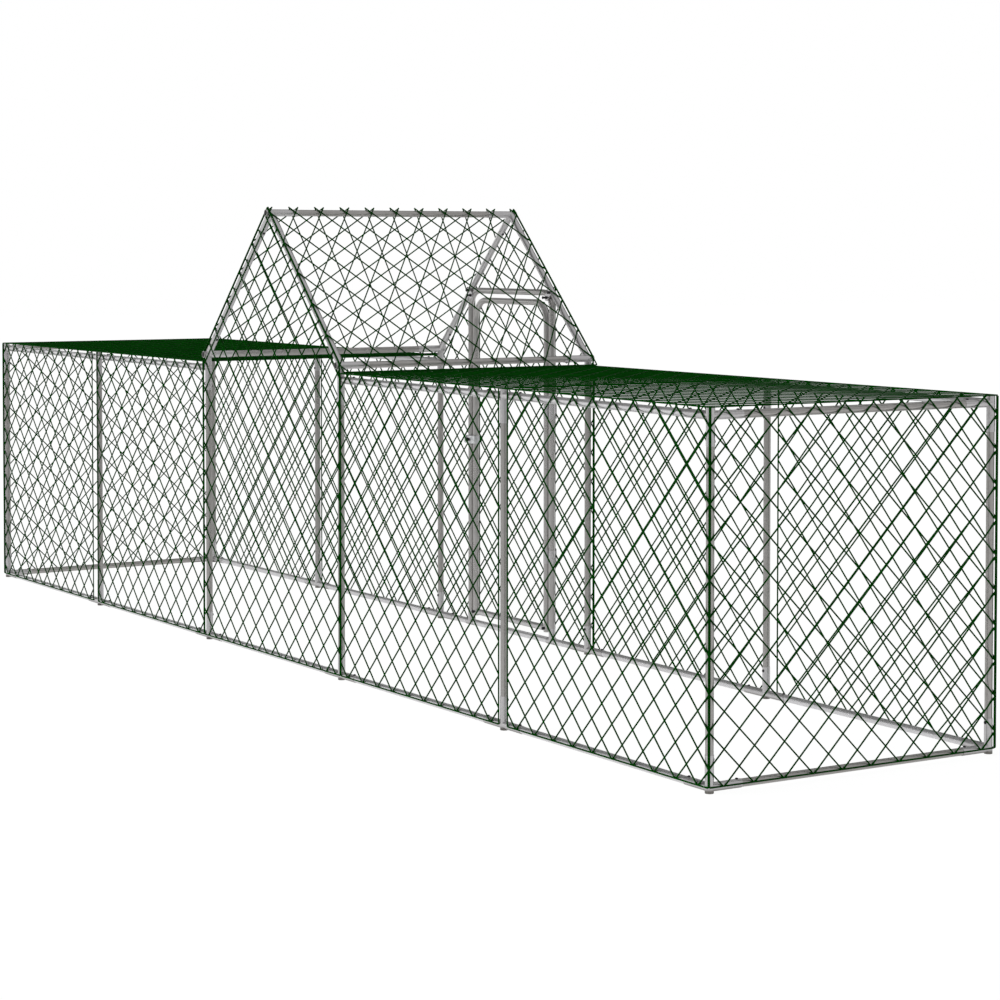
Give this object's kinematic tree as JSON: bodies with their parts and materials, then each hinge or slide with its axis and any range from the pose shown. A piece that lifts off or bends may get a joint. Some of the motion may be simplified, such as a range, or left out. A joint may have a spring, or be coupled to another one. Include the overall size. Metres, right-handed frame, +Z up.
{
  "type": "chicken run",
  "caption": "Long walk-in poultry run of galvanised tubes and green diamond wire nets: two low wings beside a gabled middle house with an arched, hinged and latched door.",
  "frame": {"origin": "on the ground, midway between the two ends and between the two long sides' posts", "axes": "+X along the run, +Y towards the side with the door, +Z up"},
  "size_m": [5.0318, 1.0136, 1.5475],
  "materials": {
    "tube": "galvanised, satin",
    "fitting": "bright zinc plated",
    "net_wire": "plastic-coated wire, semi-gloss",
    "dark_metal": "black coated, satin",
    "plug_plastic": "matt"
  },
  "bodies": {
    "frame": {"net_left_end": "net_wire", "net_right_end": "net_wire", "nets_left_front": "net_wire", "nets_left_back": "net_wire", "nets_left_roof": "net_wire", "nets_right_front": "net_wire", "nets_right_back": "net_wire", "nets_right_roof": "net_wire", "net_house_front": "net_wire", "net_slope_left": "net_wire", "net_slope_right": "net_wire", "net_door_side_left": "net_wire", "net_door_side_right": "net_wire", "net_door_head": "net_wire", "post_left_end_front": "tube", "post_left_end_back": "tube", "post_left_mid_front": "tube", "post_left_mid_back": "tube", "post_left_house_front": "tube", "post_left_house_back": "tube", "post_right_house_front": "tube", "post_right_house_back": "tube", "post_right_mid_front": "tube", "post_right_mid_back": "tube", "post_right_end_front": "tube", "post_right_end_back": "tube", "ground_rails_front": "tube", "ground_rails_back": "tube", "ground_rails_ends": "tube", "top_rails_left_front": "tube", "top_rails_left_back": "tube", "top_rails_right_front": "tube", "top_rails_right_back": "tube", "top_rails_ends": "tube", "rafters_front": "tube", "rafters_back": "tube", "eave_tube_left": "tube", "eave_tube_right": "tube", "ridge_tube": "tube", "corner_fittings": "fitting", "cross_fittings": "fitting", "eave_fittings": "fitting", "ridge_fittings": "fitting", "tube_plugs": "plug_plastic", "frame_screws": "dark_metal", "door_frame": "tube", "door_tees": "fitting", "door_straps": "fitting", "hinge_frame_straps": "fitting", "hinge_pins": "dark_metal", "latch_keeper": "fitting"},
    "door_leaf": {"leaf_frame": "tube", "leaf_rail": "tube", "leaf_screws": "dark_metal", "net_door_leaf": "net_wire", "hinge_leaf_straps": "fitting", "latch_guide": "fitting", "door_pull": "plug_plastic"},
    "latch": {"latch_bolt": "fitting", "latch_knob": "plug_plastic"}
  },
  "joints": [
    {"name": "door_hinge", "type": "hinge", "parent": "frame", "child": "door_leaf", "pos_m": [0.25725, 0.507, 0.57], "axis": [0, 0, -1], "range_deg": [0, 170]},
    {"name": "latch_slide", "type": "slide", "parent": "door_leaf", "child": "latch", "axis": [-1, 0, 0], "range_m": [0, 0.0175]}
  ]
}
